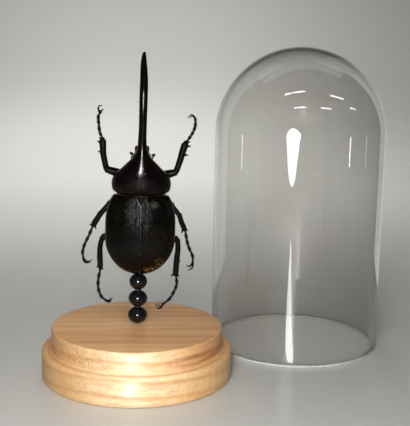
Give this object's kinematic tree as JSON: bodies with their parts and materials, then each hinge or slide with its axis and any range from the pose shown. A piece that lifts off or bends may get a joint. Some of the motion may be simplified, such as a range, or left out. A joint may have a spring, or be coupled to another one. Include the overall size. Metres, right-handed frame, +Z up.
{
  "type": "insect in glass dome",
  "caption": "Long-horned beetle specimen standing head up on a bead column over a turned wooden base, with its clear glass dome standing beside it.",
  "frame": {"origin": "centre of the wooden base's underside, on the surface that everything stands on", "axes": "+Z up along the base's turning axis, the beetle's back faces -Y, and the dome stands towards +X"},
  "size_m": [0.2106, 0.1644, 0.1901],
  "materials": {
    "wood": "satin varnished pale hardwood with straight grain",
    "steel": "plain drawn wire",
    "bead": "polished black",
    "glass": "clear blown glass",
    "cuticle": "glossy black insect cuticle",
    "elytra": "satin black wing cases with a finely grained surface"
  },
  "bodies": {
    "root": {"base": "wood", "post_rod": "steel", "bead_lower": "bead", "bead_middle": "bead", "bead_upper": "bead", "glass_dome": "glass", "hind_body": "cuticle", "elytron_left": "elytra", "elytron_right": "elytra", "pronotum": "cuticle", "head": "cuticle", "antenna_left": "cuticle", "antenna_right": "cuticle", "fore_left_femur": "cuticle", "fore_left_tibia": "cuticle", "fore_left_tarsus": "cuticle", "fore_right_femur": "cuticle", "fore_right_tibia": "cuticle", "fore_right_tarsus": "cuticle", "mid_left_femur": "cuticle", "mid_left_tibia": "cuticle", "mid_left_tarsus": "cuticle", "mid_right_femur": "cuticle", "mid_right_tibia": "cuticle", "mid_right_tarsus": "cuticle", "hind_left_femur": "cuticle", "hind_left_tibia": "cuticle", "hind_left_tarsus": "cuticle", "hind_right_femur": "cuticle", "hind_right_tibia": "cuticle", "hind_right_tarsus": "cuticle"}
  },
  "joints": []
}
